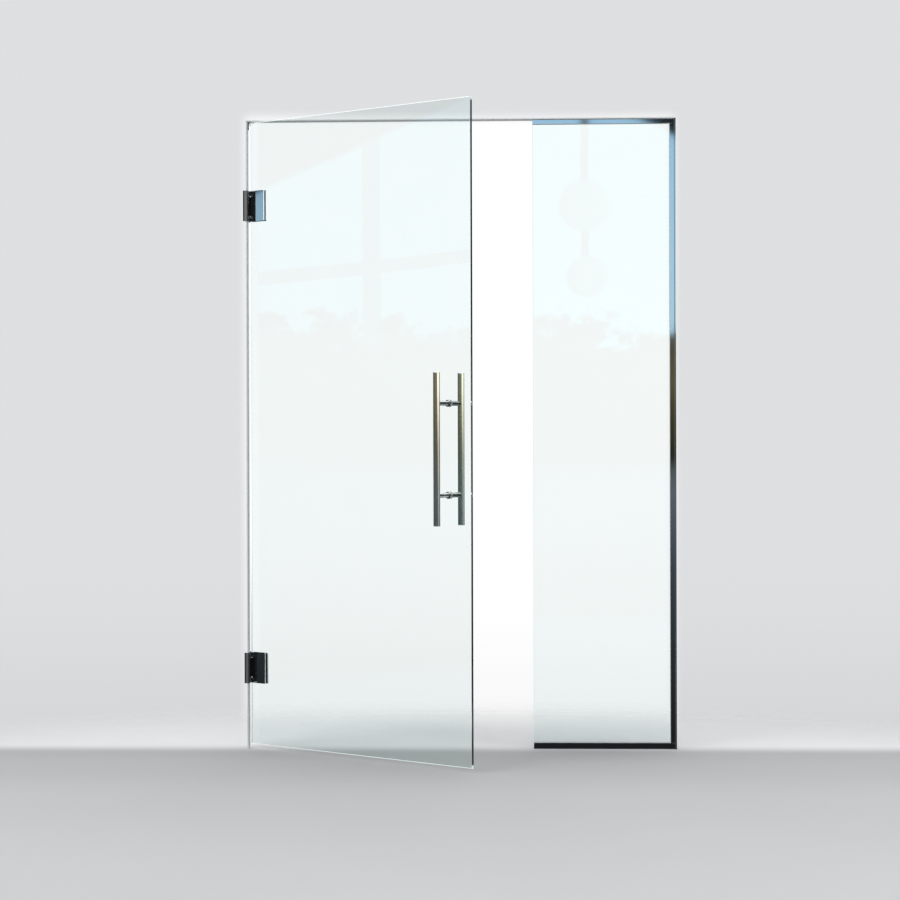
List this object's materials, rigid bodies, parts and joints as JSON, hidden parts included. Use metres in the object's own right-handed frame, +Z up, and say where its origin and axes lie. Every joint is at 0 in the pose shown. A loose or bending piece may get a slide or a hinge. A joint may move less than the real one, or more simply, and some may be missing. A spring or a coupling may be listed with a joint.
{
  "type": "glass entrance door",
  "caption": "Frameless glass entrance door leaf on patch hinges, with a fixed glass sidelight in polished channels, pull bars on both sides and a slim metal liner frame.",
  "frame": {"origin": "foot of the hinge jamb's outer face, at the middle plane of the glass and on the finished floor", "axes": "+Z up, +X across the opening from the hinge jamb towards the sidelight, -Y towards the front, where the leaf stands open"},
  "size_m": [1.509, 0.6154, 2.2],
  "materials": {
    "clear_glass": "clear toughened float glass with ground and polished edges",
    "liner_metal": "satin anodised grey",
    "dark_metal": "dark satin coat",
    "black_coat": "black satin coat",
    "polished_channel": "mirror-polished stainless steel",
    "polished_hinge": "mirror-polished stainless steel",
    "satin_handle": "finely polished stainless steel",
    "plain_steel": "machined stainless steel",
    "rubber": "matt black",
    "clear_seal": "translucent silicone",
    "nylon": "matt off-white",
    "dark_nylon": "matt black"
  },
  "bodies": {
    "frame": {"hinge_jamb": "liner_metal", "sidelight_jamb": "polished_channel", "head_liner": "liner_metal", "hinge_corner_bracket": "dark_metal", "sidelight_corner_bracket": "dark_metal", "bracket_screws": "plain_steel", "head_channel": "polished_channel", "side_channel": "polished_channel", "sill_channel": "polished_channel", "channel_screws": "plain_steel", "sidelight_glass": "clear_glass", "setting_blocks": "rubber", "edge_spacers": "rubber", "head_gasket_front": "clear_seal", "head_gasket_back": "clear_seal", "side_gasket_front": "clear_seal", "side_gasket_back": "clear_seal", "sill_gasket_front": "clear_seal", "sill_gasket_back": "clear_seal", "upper_wall_plate": "polished_hinge", "upper_pivot_block": "black_coat", "upper_pivot_bushes": "dark_nylon", "upper_wall_screws": "plain_steel", "upper_block_screws": "plain_steel", "lower_wall_plate": "polished_hinge", "lower_pivot_block": "black_coat", "lower_pivot_bushes": "dark_nylon", "lower_wall_screws": "plain_steel", "lower_block_screws": "plain_steel"},
    "leaf": {"leaf_glass": "clear_glass", "upper_pivot_pin": "plain_steel", "upper_clamp_core": "black_coat", "upper_front_clamp_plate": "polished_hinge", "upper_rear_clamp_plate": "polished_hinge", "upper_front_clamp_gasket": "rubber", "upper_rear_clamp_gasket": "rubber", "upper_clamp_screws": "plain_steel", "upper_thrust_washers": "dark_nylon", "lower_pivot_pin": "plain_steel", "lower_clamp_core": "black_coat", "lower_front_clamp_plate": "polished_hinge", "lower_rear_clamp_plate": "polished_hinge", "lower_front_clamp_gasket": "rubber", "lower_rear_clamp_gasket": "rubber", "lower_clamp_screws": "plain_steel", "lower_thrust_washers": "dark_nylon", "front_pull_bar": "satin_handle", "rear_pull_bar": "satin_handle", "front_bar_caps": "satin_handle", "rear_bar_caps": "satin_handle", "front_upper_post": "satin_handle", "front_lower_post": "satin_handle", "rear_upper_post": "satin_handle", "rear_lower_post": "satin_handle", "handle_rosettes": "satin_handle", "handle_washers": "nylon", "handle_sleeves": "nylon", "handle_bolts": "plain_steel", "post_grub_screws": "plain_steel"}
  },
  "joints": [
    {"name": "leaf_swing", "type": "hinge", "parent": "frame", "child": "leaf", "pos_m": [0.023, 0, 0], "axis": [0, 0, -1], "range_deg": [-126.7, 53.3]}
  ]
}
